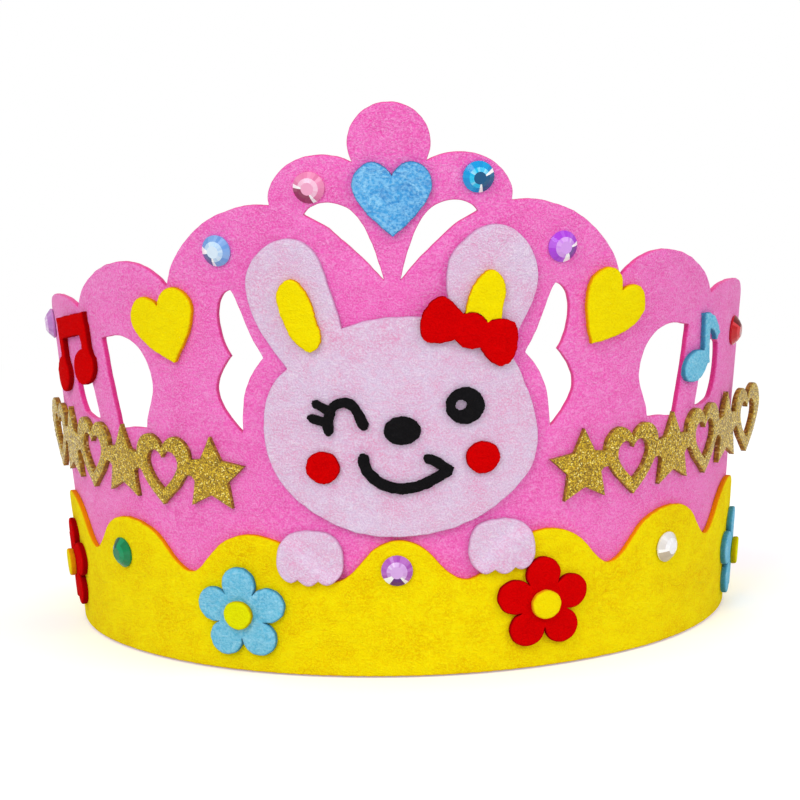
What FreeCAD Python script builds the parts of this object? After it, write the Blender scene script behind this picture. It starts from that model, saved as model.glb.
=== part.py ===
import FreeCAD, Part
import math
import os

# Felt party crown with a rabbit on its front
# A die-cut felt band stands in a ring that flares outward. Flat felt pieces, glitter card and cut
# gems lie on it in layers. Its front faces -Y, the rim stands on z = 0, sizes are in millimetres.
# Every flat piece is drawn as (along, up): along is measured round the ring from the front centre,
# on the inside of the band at that height, and up is the height over the rim. The outline is then
# bent round the ring at the layer where the piece lies.

os.makedirs("parts", exist_ok=True)

# Ring
ring_radius = 84.0         # inside of the band at its rim
flare_angle = 5.0          # lean of the wall, in degrees
felt = 1.6                 # thickness of each layer of felt
thin_felt = 1.2            # thickness of the small black and red face pieces
cut_step = 0.08            # small pieces are cut in straight runs that stray this far from the curve
long_step = 0.11           # the same for the long pieces

# Band
strap_height = 30.0        # height of the strap round the back
end_gap = 5.0              # space between the two ends at the back
ball_radius = 10.2         # ball on top of the front
ball_height = 137.6        # height of its middle
neck_drop = 4.7            # the neck under the ball is this much below its middle

# Rabbit
ear_root = 80.0            # height at which the ears start on the head

# Trim
trim_lift = 0.4            # the trim stops this much above the rim
trim_end = 160.0           # where the trim ends, along the band

# Gems
gem_radius = 4.0
gem_height = 2.6
gem_sides = 10

# Flowers
flower_radius = 12.4
flower_notch = 6.2         # distance of the notches from the middle
flower_disc = 3.8          # radius of the disc in the middle

# Glitter garlands
card = 1.6                 # thickness of the glitter card
garland_start = 48.4       # middle of the first star, along the band
garland_height = 51.5      # middle line of the garlands
garland_pitch = 15.4       # from one motif to the next
garland_motifs = 6         # stars and hearts in each garland
garland_ribbon = 3.2       # width of the ribbon that joins them
star_radius = 10.2
heart_size = 18.4
heart_border = 4.0         # the hearts are open inside this border
free_angle_left = 74.0     # from here on each garland stands off straight, in degrees
free_angle_right = 65.0

# Fastening
tape = 1.0                 # thickness of each of the two fastening tapes
tape_length = 20.0
tab_length = 72.0
tab_height = 22.0
tab_corner = 3.0           # cut off each corner of the tab
tape_margin = 2.0          # the tab reaches this far past its tapes

slope = math.tan(math.radians(flare_angle))
up = FreeCAD.Vector(0, 0, 1)


# Helpers for flat outlines

def chain(start, *legs):
    """Edges of an outline. A leg with one point is straight, a longer one is a smooth curve."""
    edges = []
    here = start
    for leg in legs:
        points = [FreeCAD.Vector(x, y, 0) for x, y in [here] + list(leg)]
        if len(points) == 2:
            edges.append(Part.makeLine(points[0], points[1]))
        else:
            curve = Part.BSplineCurve()
            curve.interpolate(points)
            edges.append(curve.toShape())
        here = leg[-1]
    return edges


def face(edges):
    """Flat face inside a closed run of edges, facing the viewer."""
    flat = Part.Face(Part.Wire(edges))
    if flat.normalAt(0, 0).z < 0:
        flat = Part.Face(flat.OuterWire.reversed())
    return flat


def mirror(shape):
    """Mirror image about the front centre line."""
    return shape.mirror(FreeCAD.Vector(0, 0, 0), FreeCAD.Vector(1, 0, 0))


def place(shape, along, height, turn=0.0):
    """Turn a flat shape about its own middle and move it to its place on the pattern."""
    moved = shape.copy()
    moved.rotate(FreeCAD.Vector(0, 0, 0), up, turn)
    moved.translate(FreeCAD.Vector(along, height, 0))
    return moved


def disc(radius):
    return face([Part.makeCircle(radius)])


def oval(long_half, short_half):
    ring = Part.Ellipse(FreeCAD.Vector(0, 0, 0), long_half, short_half)
    return face([ring.toShape()])


def in_runs(flat, stray=cut_step):
    """The same flat face with its curves cut in short straight runs."""
    rings = []
    for wire in flat.Wires:
        points = []
        for edge, start in zip(wire.OrderedEdges, wire.OrderedVertexes):
            run = edge.discretize(Deflection=stray)
            if run[0].distanceToPoint(start.Point) > run[-1].distanceToPoint(start.Point):
                run.reverse()
            points += run[:-1]
        points.append(points[0])
        rings.append(face([Part.makeLine(a, b) for a, b in zip(points, points[1:])]))
    rings.sort(key=lambda ring: -ring.Area)
    return rings[0].cut(rings[1:]).Faces[0] if rings[1:] else rings[0]


def joined(shapes):
    """One flat face from several that overlap or touch."""
    blocks = [shape.extrude(up) for shape in shapes]
    whole = blocks[0].fuse(blocks[1:]).removeSplitter()
    level = [side for side in whole.Faces if side.BoundBox.ZMax < 0.5]
    return max(level, key=lambda side: side.Area)


# Helpers that bend a flat face round the ring

def cone(offset):
    """Cone of the ring, moved outward level by offset. Its seam is at the back."""
    surface = Part.Cone()
    surface.Radius = ring_radius + offset
    surface.SemiAngle = math.radians(flare_angle)
    turned = FreeCAD.Matrix()
    turned.rotateZ(math.pi / 2)
    surface.transform(turned)
    return surface


def bent_edge(edge, surface):
    """Edge on the cone: angle = along / radius at that height, seen from the axis."""
    flat = edge.Curve.toBSpline(edge.FirstParameter, edge.LastParameter)
    poles = []
    for p in flat.getPoles():
        angle = p.x / (ring_radius + p.y * slope)
        poles.append(FreeCAD.Base.Vector2d(math.pi + angle, p.y / math.cos(math.radians(flare_angle))))
    curve = Part.Geom2d.BSplineCurve2d()
    curve.buildFromPolesMultsKnots(poles, flat.getMultiplicities(), flat.getKnots(), False,
                                   flat.Degree, flat.getWeights())
    return curve.toShape(surface)


def side_wall(a, b):
    """Wall between the inner and the outer edge. Level edges get a flat one."""
    if max(a.BoundBox.ZLength, b.BoundBox.ZLength) > 1e-5:
        return Part.makeRuledSurface(a, b)
    ends = [Part.makeLine(a.valueAt(a.getParameterByLength(t * a.Length)),
                          b.valueAt(b.getParameterByLength(t * b.Length))) for t in (0, 1)]
    return Part.Face(Part.Wire([a, ends[0], b, ends[1]]))


def bend(flat, inner, thickness):
    """Solid piece of the flat outline, with its inner side at the given offset."""
    surfaces = [cone(inner), cone(inner + thickness)]
    skins = [None, None]
    holes = [[], []]
    walls = []
    for wire in flat.Wires:
        pairs = [[bent_edge(edge, surface) for surface in surfaces] for edge in wire.OrderedEdges]
        walls += [side_wall(a, b) for a, b in pairs]
        for side in (0, 1):
            skin = Part.Face(Part.Wire([pair[side] for pair in pairs]))
            if wire.isSame(flat.OuterWire):
                skins[side] = skin
            else:
                holes[side].append(skin)
    for side in (0, 1):
        if holes[side]:
            skins[side] = skins[side].cut(holes[side]).Faces[0]
    solid = Part.makeSolid(Part.makeShell(skins + walls))
    if solid.Volume < 0:
        solid.reverse()
    return solid


def small(flat, inner, thickness):
    """Solid small piece, cut in straight runs."""
    return bend(in_runs(flat), inner, thickness)


def spot(along, height, offset):
    """Point on the wall, with the level outward direction and the level direction round it."""
    angle = along / (ring_radius + height * slope)
    outward = FreeCAD.Vector(math.sin(angle), -math.cos(angle), 0)
    round_it = FreeCAD.Vector(math.cos(angle), math.sin(angle), 0)
    point = outward * (ring_radius + height * slope + offset) + up * height
    return point, outward, round_it


def stand_off(flat, inner, thickness, free_angle):
    """Straight plate that carries the flat outline on past the free angle, flush with the bent part."""
    angle = math.radians(free_angle)
    out = FreeCAD.Vector(math.sin(angle), -math.cos(angle), 0)
    ahead = FreeCAD.Vector(math.cos(angle), math.sin(angle), 0)
    rise = out * slope - ahead * (slope * angle) + up
    base = out * (ring_radius + inner) - ahead * (ring_radius * angle)
    frame = FreeCAD.Matrix(ahead.x, rise.x, 0, base.x,
                           ahead.y, rise.y, 0, base.y,
                           ahead.z, rise.z, 1, base.z,
                           0, 0, 0, 1)
    return flat.transformGeometry(frame).extrude(out * thickness)


def save(solid, name):
    solid.exportStep("parts/" + name + ".step")


# Band
# Heights over the strap are drawn in hundredths of the climb from the strap to the ball.
def climb(share):
    return strap_height + share / 100 * (ball_height - strap_height)


def raised(points, low=strap_height, high=ball_height):
    """Points whose heights are given in hundredths of the way from low to high."""
    return [(x, low + share / 100 * (high - low)) for x, share in points]


def climbing(start, *legs):
    """Edges of an outline like those of chain, with its heights in hundredths of the climb."""
    return chain(raised([start])[0], *[raised(leg) for leg in legs])


# Right half of the outline, from the back end round the bottom hem to the top of the ball.
end_along = [(math.pi - end_gap / 2 / ring_radius) * (ring_radius + z * slope)
             for z in (0, strap_height)]
flank = [(168, 1.21), (159, 4.65), (153, 12.08), (149, 22.3), (145, 33.46), (140.5, 43.68), (135, 50.19)]
scallops = [
    [(129, 54.18), (120, 56.69), (110, 57.53), (104, 57.16), (99.4, 55.95)],
    [(97.4, 59.48), (92.6, 63.66), (85.6, 67.47), (78, 69.52), (70.8, 69.61), (65, 67.84), (60.6, 64.87)],
    [(58.8, 70.17), (54.8, 75.46), (48.8, 80.58), (41.6, 84.01), (35, 85.5), (30.1, 85.5)],
    [(30.3, 88.29), (28.9, 91.45), (25.4, 94.98), (18.6, 97.3)],
]
neck_angle = math.asin(neck_drop / ball_radius)
neck = (ball_radius * math.cos(neck_angle), ball_height - neck_drop)
legs = [raised(leg) for leg in [flank + scallops[0]] + scallops[1:]]
legs[-1] += [(neck[0] + 3.5, neck[1] + 1.4), neck]
edges = chain((end_along[0], 0), [(end_along[1], strap_height)], [(176, strap_height)], *legs)
middle = FreeCAD.Vector(0, ball_height, 0)
edges.append(Part.Arc(FreeCAD.Vector(neck[0], neck[1], 0), middle + FreeCAD.Vector(ball_radius, 0, 0),
                      middle + FreeCAD.Vector(0, ball_radius, 0)).toShape())
edges += [mirror(edge) for edge in reversed(edges)]
edges += chain((-end_along[0], 0), [(end_along[0], 0)])
band = face(edges)

upper_hole = climbing((2.0, 67.84), [(3.9, 74.35), (6.4, 80.2), (9.2, 84.01), (12.4, 85.78),
                                     (16, 86.25), (19.2, 85.41), (21.4, 83.46)],
                      [(15.3, 80.3), (10.4, 76.21), (5.6, 71.75), (2.0, 67.84)])
middle_hole = climbing((33, 49.26), [(35.3, 52.79), (37.4, 56.97), (39.4, 61.9), (41.4, 65.24)],
                       [(43.8, 63.75), (45.1, 60.41), (45, 56.69), (44, 52.97), (42, 49.26)],
                       [(44.8, 45.35), (46.2, 40.8), (44.8, 36.99), (42.2, 33.64), (39.4, 30.86)],
                       [(39.2, 35.32), (38.4, 40.52), (36.5, 44.8), (33, 49.26)])
side_hole = climbing((67.2, 41.45), [(68.3, 44.98), (70.8, 48.33), (75.3, 50.74), (81, 51.12),
                                     (87.2, 49.81)],
                     [(86, 43.68), (84.1, 36.71), (81.4, 28.07)],
                     [(75.5, 29.09), (70.0, 29.46)],
                     [(69.2, 33.46), (67.6, 37.17), (67.2, 41.45)])
far_hole = climbing((91.2, 29), [(95.5, 28.81), (100.4, 29.65)],
                    [(103.3, 33.46), (104.8, 38.1), (104.9, 42.75)],
                    [(101, 44.24), (97.6, 43.31)], [(95, 38.57), (92.6, 33.46), (91.2, 29)])
holes = [face(outline) for outline in (upper_hole, middle_hole, side_hole, far_hole)]
band = band.cut(holes + [mirror(hole) for hole in holes]).Faces[0]
save(bend(in_runs(band, long_step), 0, felt), "crown_band")

# Trim
# Crests and dips of the wavy top edge, from the front centre to the end.
wave = [(0, 36.3), (6.6, 33.6), (11.6, 27.9), (16.5, 25.4), (21.4, 27.8), (26.6, 33.2), (32.5, 36.1),
        (39, 36.7), (46.6, 33.5), (51.4, 28.2), (55.4, 25.4), (60.6, 27.6), (66.4, 33.4),
        (73, 36.4), (81, 36.6), (88, 33.2), (92.4, 27.9), (96.4, 25.4), (101.4, 27.8), (107, 33.2),
        (113.6, 36.2), (121, 36.2), (128, 32.6), (132.6, 27.4), (137, 25.2), (142.4, 26.6)]
wave.append((trim_end - 6, 28.0))
edges = chain((-trim_end, trim_lift), [(trim_end, trim_lift)], [(trim_end, 22)],
              [(trim_end - 1.6, 26), wave[-1]], list(reversed(wave))[1:] + [(-x, y) for x, y in wave[1:]],
              [(-trim_end + 1.6, 26), (-trim_end, 22)], [(-trim_end, trim_lift)])
trim = face(edges)
save(bend(in_runs(trim, long_step), felt, felt), "yellow_trim")

# Rabbit
# Heights on the ears are drawn in hundredths of the way from their root to the tip.
ear_tip = climb(80.3)


def on_ear(points):
    return raised(points, ear_root, ear_tip)


rabbit = face(chain(
    (-26.2, 80.7),
    on_ear([(-29.7, 14.29), (-33, 28.3), (-35.9, 48.9), (-36.2, 66.48), (-32.4, 84.07), (-26.5, 92.86),
            (-21.5, 90.66), (-18, 80.49), (-16, 64.56), (-14.1, 48.35), (-12.6, 30.49)]),
    on_ear([(-7, 35.71), (-0.7, 38.19), (6.6, 37.91), (13.6, 35.16)]),
    on_ear([(13.3, 49.45), (13.1, 63.19), (14.4, 79.67), (18, 91.21), (24.4, 100), (30.4, 95.05),
            (34.2, 82.14), (36, 66.48), (35.4, 51.1), (32.4, 32.69), (28.2, 12.09)]),
    [(31.2, 78.2), (34.2, 69.4), (35.3, 60.5), (33.4, 53.4), (28.3, 47.4), (20.4, 41.8),
     (10.4, 38.2), (0.3, 37.1), (-9.6, 38.2), (-19.5, 42.6), (-27.1, 48.8), (-31.8, 57),
     (-32.9, 66.5), (-31, 75), (-26.2, 80.7)]))
save(bend(in_runs(rabbit, long_step), felt, felt), "rabbit_head")

on_rabbit = 2 * felt
ear_left = on_ear([(-20, 14.29), (-17.6, 20.33), (-18.4, 36.81), (-21, 57.69), (-24.6, 65.38),
                   (-27.7, 57.69), (-27.1, 40.66), (-24.2, 22.53), (-20, 14.29)])
ear_left = face(chain(ear_left[0], ear_left[1:]))
save(small(ear_left, on_rabbit, felt), "ear_inner_left")

bow = face(chain(
    (16.8, 94.3), [(19.3, 94.6), (22.5, 91.9)],
    [(26, 92.6), (29.3, 91.2), (30.1, 87.2), (28.6, 82), (26, 80.4), (22.8, 82.2), (20.7, 85.4)],
    [(17.4, 85.5), (14.5, 88)],
    [(10.4, 87.1), (7, 88.3), (6.4, 92), (8.8, 97.4), (11.9, 99), (14.8, 96.9), (16.8, 94.3)]))
save(small(bow, on_rabbit, felt), "bow")

ear_right = on_ear([(19.6, 16.48), (17.4, 30.22), (17.7, 46.7), (20.2, 62.09), (23.9, 69.23),
                    (26.8, 61.54), (26.6, 43.96), (24.8, 24.73), (19.6, 16.48)])
ear_right = face(chain(ear_right[0], ear_right[1:])).cut(bow)
ear_right = max(ear_right.Faces, key=lambda piece: piece.Area)
save(small(ear_right, on_rabbit, felt), "ear_inner_right")


def stroke(points, width, start_cap=True):
    """Rounded line through points: its two sides are smooth curves that meet at the tips."""
    half = width / 2
    sides = [[], []]
    for k, (x, y) in enumerate(points):
        before = points[max(k - 1, 0)]
        after = points[min(k + 1, len(points) - 1)]
        dx, dy = after[0] - before[0], after[1] - before[1]
        size = math.hypot(dx, dy)
        sides[0].append((x - dy / size * half, y + dx / size * half))
        sides[1].append((x + dy / size * half, y - dx / size * half))
    first, last = points[0], points[-1]
    tips = []
    for end, inward in ((last, points[-2]), (first, points[1])):
        run = math.hypot(end[0] - inward[0], end[1] - inward[1])
        tips.append(tuple(e + (e - i) / run * half for e, i in zip(end, inward)))
    tip, tail = tips
    return face(chain(sides[0][0], sides[0][1:], [tip, sides[1][-1]], list(reversed(sides[1]))[1:],
                      [tail, sides[0][0]]))


wink = joined([stroke([(-16.2, 64.9), (-16, 69), (-13.9, 72), (-10.8, 72), (-8.8, 69), (-7.6, 66.4)], 2.2),
               stroke([(-15.4, 69.6), (-17.4, 71), (-19.2, 72)], 1.9),
               stroke([(-16.1, 67.2), (-18.4, 67.6), (-20.4, 68.3)], 1.9)])
save(small(wink, on_rabbit, thin_felt), "wink_eye")

eye = place(disc(4.6), 16.8, 70.8).cut(place(disc(1.6), 15.8, 71)).Faces[0]
save(small(eye, on_rabbit, thin_felt), "open_eye")
save(small(place(oval(4.3, 3.5), 1.5, 65), on_rabbit, thin_felt), "nose")

mouth = joined([stroke([(-8, 58), (-7, 54.6), (-4, 51.5), (0.4, 50), (5.4, 50.6), (9.6, 52.6), (12.4, 54.4)],
                       2.5),
                stroke([(7.6, 57.6), (10.2, 56.2), (12.4, 54.4)], 2.3)])
save(small(mouth, on_rabbit, thin_felt), "mouth")
for side, along, height in (("left", -17.9, 55.5), ("right", 20.9, 57.2)):
    save(small(place(disc(4.2), along, height), on_rabbit, thin_felt), "cheek_" + side)

# Paws
# Each paw lies on the trim, and a second layer under it fills the step down to the band.
paw = chain((-19.7, 25.8), [(-17.4, 24.8), (-14.8, 26.6), (-13.7, 31.5), (-16, 37.2), (-21.8, 38.7),
                            (-27.8, 37.2), (-30.1, 32.2), (-29.2, 26.8), (-26.9, 25.1), (-24.9, 26.1)],
            [(-22.3, 24.4), (-19.7, 25.8)])
paw = face(paw)
for name, flat in (("paw_left", paw), ("paw_right", place(mirror(paw), 3.4, 1.9))):
    under = max(in_runs(flat).cut(in_runs(trim)).Faces, key=lambda piece: piece.Area)
    save(bend(under, felt, felt).fuse(small(flat, 2 * felt, felt)).removeSplitter().Solids[0], name)


# Hearts
def heart(width, height):
    w, h = width / 2, height / 2
    right = [(0.42 * w, -0.62 * h), (0.84 * w, -0.08 * h), (w, 0.42 * h), (0.8 * w, 0.86 * h),
             (0.46 * w, h), (0.16 * w, 0.86 * h), (0, 0.62 * h)]
    left = [(-x, y) for x, y in reversed(right[:-1])]
    return face(chain((0, -h), right, left + [(0, -h)]))


for name, width, height, along, share, turn in (
        ("heart_top", 19.4, 18.8, 0.5, 86.99, 0),
        ("heart_left", 21, 18.8, -60.8, 55.11, 19),
        ("heart_right", 19, 19.6, 56.4, 57.16, -36)):
    flat = place(heart(width, height), along, climb(share), turn)
    save(small(flat, felt, felt), name)

# Music notes
single = joined([place(oval(5.8, 4.1), -5, -6.7, 12), face(chain((-1.0, -7), [(1.8, -7)], [(1.8, 2.2)],
                                                              [(4.6, 0.8), (6.0, -1.4)],
                                                              [(8.0, 0.2)], [(5.4, 4.4), (1.8, 6.5)],
                                                              [(-1.0, 6.7)], [(-1.0, -7)]))])
save(small(place(single, 94.4, climb(45.54)), felt, felt), "note_right")
double = joined([place(oval(5.7, 4.7), -10.2, -7.6, 14), place(oval(6.3, 4.7), 6.4, -6.9, 14),
                 face(chain((-8.8, -8), [(-5.4, -8)], [(-5.4, 1.6)], [(7.8, 1.6)], [(7.8, -7)],
                            [(11.8, -7)], [(11.8, 7.4)], [(-8.8, 7.4)], [(-8.8, -8)]))])
save(small(place(double, -103.8, climb(46.47), 13), felt, felt), "note_left")


# Flowers
def flower():
    petal = []
    for k in range(5):
        middle_angle = math.radians(90 + 72 * k)
        ends = [middle_angle - math.radians(36), middle_angle + math.radians(36)]
        a, b = [FreeCAD.Vector(flower_notch * math.cos(t), flower_notch * math.sin(t), 0) for t in ends]
        tip = FreeCAD.Vector(math.cos(middle_angle), math.sin(middle_angle), 0) * flower_radius
        petal.append(Part.Arc(a, tip, b).toShape())
    return face(petal)


on_trim = 2 * felt
for name, along, height, turn in (("blue_left", -40.4, 15.8, 3), ("red_right", 35.7, 17.4, 0),
                                  ("red_far", -117, 16.8, 0), ("blue_far", 122.5, 14.6, 0)):
    save(small(place(flower(), along, height, turn), on_trim, felt), "flower_" + name)
    save(small(place(disc(flower_disc), along, height), on_trim + felt, felt), "flower_disc_" + name)


# Gems
def gem(along, height, offset):
    """Round cut gem: a low girdle, a sloping crown of flat facets and a flat table."""
    point, outward, round_it = spot(along, height, offset)
    normal = outward * math.cos(math.radians(flare_angle)) - up * math.sin(math.radians(flare_angle))
    rise = normal.cross(round_it)
    rings = []
    for radius, level, shift in ((gem_radius, 0, 0), (gem_radius, 0.3 * gem_height, 0),
                                 (0.58 * gem_radius, gem_height, 0)):
        ring = []
        for k in range(gem_sides):
            t = math.radians(360 * (k + shift) / gem_sides)
            ring.append(point + normal * level + round_it * (radius * math.cos(t))
                        + rise * (radius * math.sin(t)))
        rings.append(ring)
    faces = [Part.Face(Part.makePolygon(ring + ring[:1])) for ring in (rings[0], rings[-1])]
    for low, high in zip(rings, rings[1:]):
        for k in range(gem_sides):
            n = (k + 1) % gem_sides
            corners = [low[k], low[n], high[n], high[k], low[k]]
            faces.append(Part.Face(Part.makePolygon(corners)))
    solid = Part.makeSolid(Part.makeShell(faces))
    if solid.Volume < 0:
        solid.reverse()
    return solid


for name, along, height, offset in (
        ("pink", -19.7, climb(89.96), felt), ("cyan", 21.6, climb(91.54), felt),
        ("pale_blue", -44.5, climb(74.54), felt), ("violet", 43.2, climb(73.79), felt),
        ("mauve", -129.0, climb(47.86), felt), ("red", 118.5, climb(43.7), felt),
        ("purple", -0.6, 28.6, 2 * felt), ("green", -80.8, 26.9, 2 * felt),
        ("clear", 75.8, 26.0, 2 * felt)):
    save(gem(along, height, offset), "gem_" + name)


# Glitter garlands
def star(radius):
    points = []
    for k in range(10):
        reach = radius if k % 2 == 0 else 0.5 * radius
        t = math.radians(90 + 36 * k)
        points.append((reach * math.cos(t), reach * math.sin(t)))
    return face(chain(points[0], *[[p] for p in points[1:] + points[:1]]))


def garland():
    """Stars and open hearts in turn, joined by a ribbon along the middle line."""
    pieces = []
    for k in range(garland_motifs):
        along = garland_start + garland_pitch * k
        if k % 2 == 0:
            motif = star(star_radius)
        else:
            inner = heart(heart_size - 2 * heart_border, heart_size - 2 * heart_border)
            motif = heart(heart_size, heart_size).cut(inner)
        pieces.append(place(motif, along, garland_height))
        if k:
            gap = garland_pitch - star_radius
            ribbon = face(chain((-gap / 2, -garland_ribbon / 2), [(gap / 2, -garland_ribbon / 2)],
                                [(gap / 2, garland_ribbon / 2)], [(-gap / 2, garland_ribbon / 2)],
                                [(-gap / 2, -garland_ribbon / 2)]))
            pieces.append(place(ribbon, along - garland_pitch / 2, garland_height + 1.0))
    return joined(pieces)


pattern = garland()
for name, flat, free_angle in (("left", mirror(pattern), -free_angle_left),
                               ("right", pattern, free_angle_right)):
    low, high = garland_height - 2 * star_radius, garland_height + 2 * star_radius
    border = [math.radians(free_angle) * (ring_radius + z * slope) for z in (low, high)]
    near = face(chain((0, low), [(border[0], low)], [(border[1], high)], [(0, high)], [(0, low)]))
    bent, straight = [[piece for piece in cut.Faces if piece.Area > 1]
                      for cut in (flat.common(near), flat.cut(near))]
    solids = [small(piece, felt, card) for piece in bent]
    solids += [stand_off(in_runs(piece), felt, card, free_angle) for piece in straight]
    save(solids[0].fuse(solids[1:]).removeSplitter().Solids[0], "gold_garland_" + name)


# Fastening at the back
# A felt tab bridges the two ends of the strap. It is held at each end by hook and loop tape.
def at_back(shape):
    moved = shape.copy()
    moved.rotate(FreeCAD.Vector(0, 0, 0), up, 180)
    return moved


def panel(along, height, length, width, corner):
    """Rectangle with its corners cut off."""
    a, b, c = length / 2, width / 2, corner
    outline = [(-a + c, -b), (a - c, -b), (a, -b + c), (a, b - c), (a - c, b), (-a + c, b), (-a, b - c),
               (-a, -b + c)] if c else [(-a, -b), (a, -b), (a, b), (-a, b)]
    return place(face(chain(outline[0], *[[p] for p in outline[1:] + outline[:1]])), along, height)


tape_along = tab_length / 2 - tape_length / 2 - tape_margin
middle_line = strap_height / 2
tab = panel(0, middle_line, tab_length, tab_height, tab_corner)
save(at_back(bend(tab, felt + 2 * tape, felt)), "closing_tab")
for name, side in (("left", 1), ("right", -1)):
    flat = panel(side * tape_along, middle_line, tape_length, tab_height - 2 * tape_margin, 0)
    save(at_back(bend(flat, felt, tape)), "hook_tape_" + name)
    save(at_back(bend(flat, felt + tape, tape)), "loop_tape_" + name)
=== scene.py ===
# %% Load the frame
import math

import bpy
import numpy as np
from mathutils import Matrix, Vector
from mathutils.geometry import delaunay_2d_cdt


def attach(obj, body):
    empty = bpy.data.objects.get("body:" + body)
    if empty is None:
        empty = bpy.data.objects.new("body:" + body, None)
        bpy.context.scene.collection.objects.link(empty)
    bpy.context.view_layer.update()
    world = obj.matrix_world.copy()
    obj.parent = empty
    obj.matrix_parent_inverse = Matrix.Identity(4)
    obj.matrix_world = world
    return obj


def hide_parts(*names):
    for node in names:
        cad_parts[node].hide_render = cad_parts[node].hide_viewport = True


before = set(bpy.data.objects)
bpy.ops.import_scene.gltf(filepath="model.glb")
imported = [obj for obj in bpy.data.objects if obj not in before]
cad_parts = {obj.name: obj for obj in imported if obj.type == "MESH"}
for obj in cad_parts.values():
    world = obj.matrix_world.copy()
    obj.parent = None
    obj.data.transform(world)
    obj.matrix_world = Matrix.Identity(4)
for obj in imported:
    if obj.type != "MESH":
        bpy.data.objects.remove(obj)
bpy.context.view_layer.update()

# %% [markdown]
# # A felt party crown
# The crown is one long strip of pink craft felt, cut with a die and closed in a ring that leans
# outward. Flat felt pieces, a strip of glitter card on each side and small cut gems are glued on it
# in layers. We dress the CAD model of it. Every piece is first drawn flat, as a pattern with the
# two coordinates *along* and *up* in millimetres, and then bent round the ring, as it is in life.
#
# ## The camera
# The photograph was taken from a little above, from far away, with the camera turned a degree and
# a half. The numbers below come from fitting a pinhole camera to the rim and the scallops.

# %% Camera
MM = 0.001
camera_turn, camera_height, camera_roll = 0.0092, 0.1802, 0.0246      # radians
camera_distance = 1100 * MM
camera_lens = 181.75
look_at_side, look_at_height = 0.3463 * MM, 55.7509 * MM

forward = Vector((-math.sin(camera_turn) * math.cos(camera_height),
                  math.cos(camera_turn) * math.cos(camera_height), -math.sin(camera_height)))
level = Vector((math.cos(camera_turn), math.sin(camera_turn), 0))
upward = level.cross(forward)
right = level * math.cos(camera_roll) - upward * math.sin(camera_roll)
top = level * math.sin(camera_roll) + upward * math.cos(camera_roll)
target = level * look_at_side + Vector((0, 0, look_at_height))
place = target - forward * camera_distance

camera = bpy.data.objects.new("camera", bpy.data.cameras.new("camera"))
camera.data.lens, camera.data.sensor_width = camera_lens, 36
camera.data.clip_start, camera.data.clip_end = 0.05, 60
camera.matrix_world = Matrix([(right[i], top[i], -forward[i], place[i]) for i in range(3)] + [(0, 0, 0, 1)])
bpy.context.scene.collection.objects.link(camera)
bpy.context.scene.camera = camera
print("camera at", [round(v, 3) for v in place])

# %% [markdown]
# ## The studio
# Product photographs of such things are lit from all sides, so that the felt shows its own colour
# and only the overlaps are dark. The materials are built from nodes, and a few short helpers keep
# that readable: `paint` turns a screen colour into a linear one, and `add` makes a node and sets or
# links its sockets in one line.

# %% Helpers for node trees
def paint(red, green, blue):
    """Linear colour from screen values of 0 to 255, by the usual screen curve."""
    values = np.array([red, green, blue]) / 255
    linear = np.where(values > 0.04045, ((values + 0.055) / 1.055) ** 2.4, values / 12.92)
    return (*linear.tolist(), 1.0)


def add(tree, kind, **settings):
    """New node of a tree. Settings with a name of the node are set on it, the others on its sockets."""
    node = tree.nodes.new("ShaderNode" + kind)
    for name, value in settings.items():
        if name in node.bl_rna.properties:
            setattr(node, name, value)
    for name, value in settings.items():
        if name not in node.bl_rna.properties:
            socket = node.inputs[int(name[1:])] if name[0] == "i" and name[1:].isdigit() \
                else node.inputs[name.replace("_", " ")]
            if isinstance(value, bpy.types.NodeSocket):
                tree.links.new(value, socket)
            else:
                socket.default_value = value
    return node


def maths(tree, operation, *values):
    """Value of a Math node."""
    return add(tree, "Math", operation=operation, **{f"i{k}": v for k, v in enumerate(values)}).outputs[0]


def blend_colours(tree, share, first, second):
    """Colour from mixing two colours."""
    node = tree.nodes.new("ShaderNodeMix")
    node.data_type = "RGBA"
    for socket, value in ((node.inputs[0], share), (node.inputs[6], first), (node.inputs[7], second)):
        if isinstance(value, bpy.types.NodeSocket):
            tree.links.new(value, socket)
        else:
            socket.default_value = value
    return node.outputs[2]


def new_material(name):
    """Empty material with an output, and its tree."""
    material = bpy.data.materials.new(name)
    material.use_nodes = True
    material.node_tree.nodes.clear()
    return material, material.node_tree


# %% [markdown]
# A white world gives most of the light, and three wide soft lamps give it a direction. The floor is
# pale. For camera rays it adds a little light of its own, which makes it white where no shadow falls,
# without more light on the crown. Further out it fades to pure white.

# %% Floor, world and lamps
floor_radius = 6.0                       # metres
fade_from, fade_to = 0.16, 0.42          # metres from the middle of the ring
floor_glow, far_light = 0.34, 0.6
world_light = 0.66
lamp_aim = Vector((0, 0, 0.06))          # the middle of the crown


def disc_mesh(name, radius, sides=96):
    """Flat disc on z = 0: one many-sided face, its corners at equal angles."""
    angle = np.linspace(0, 2 * np.pi, sides, endpoint=False)
    corners = np.column_stack([radius * np.cos(angle), radius * np.sin(angle), np.zeros(sides)])
    mesh = bpy.data.meshes.new(name)
    mesh.from_pydata(corners.tolist(), [], [list(range(sides))])
    return mesh


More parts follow.
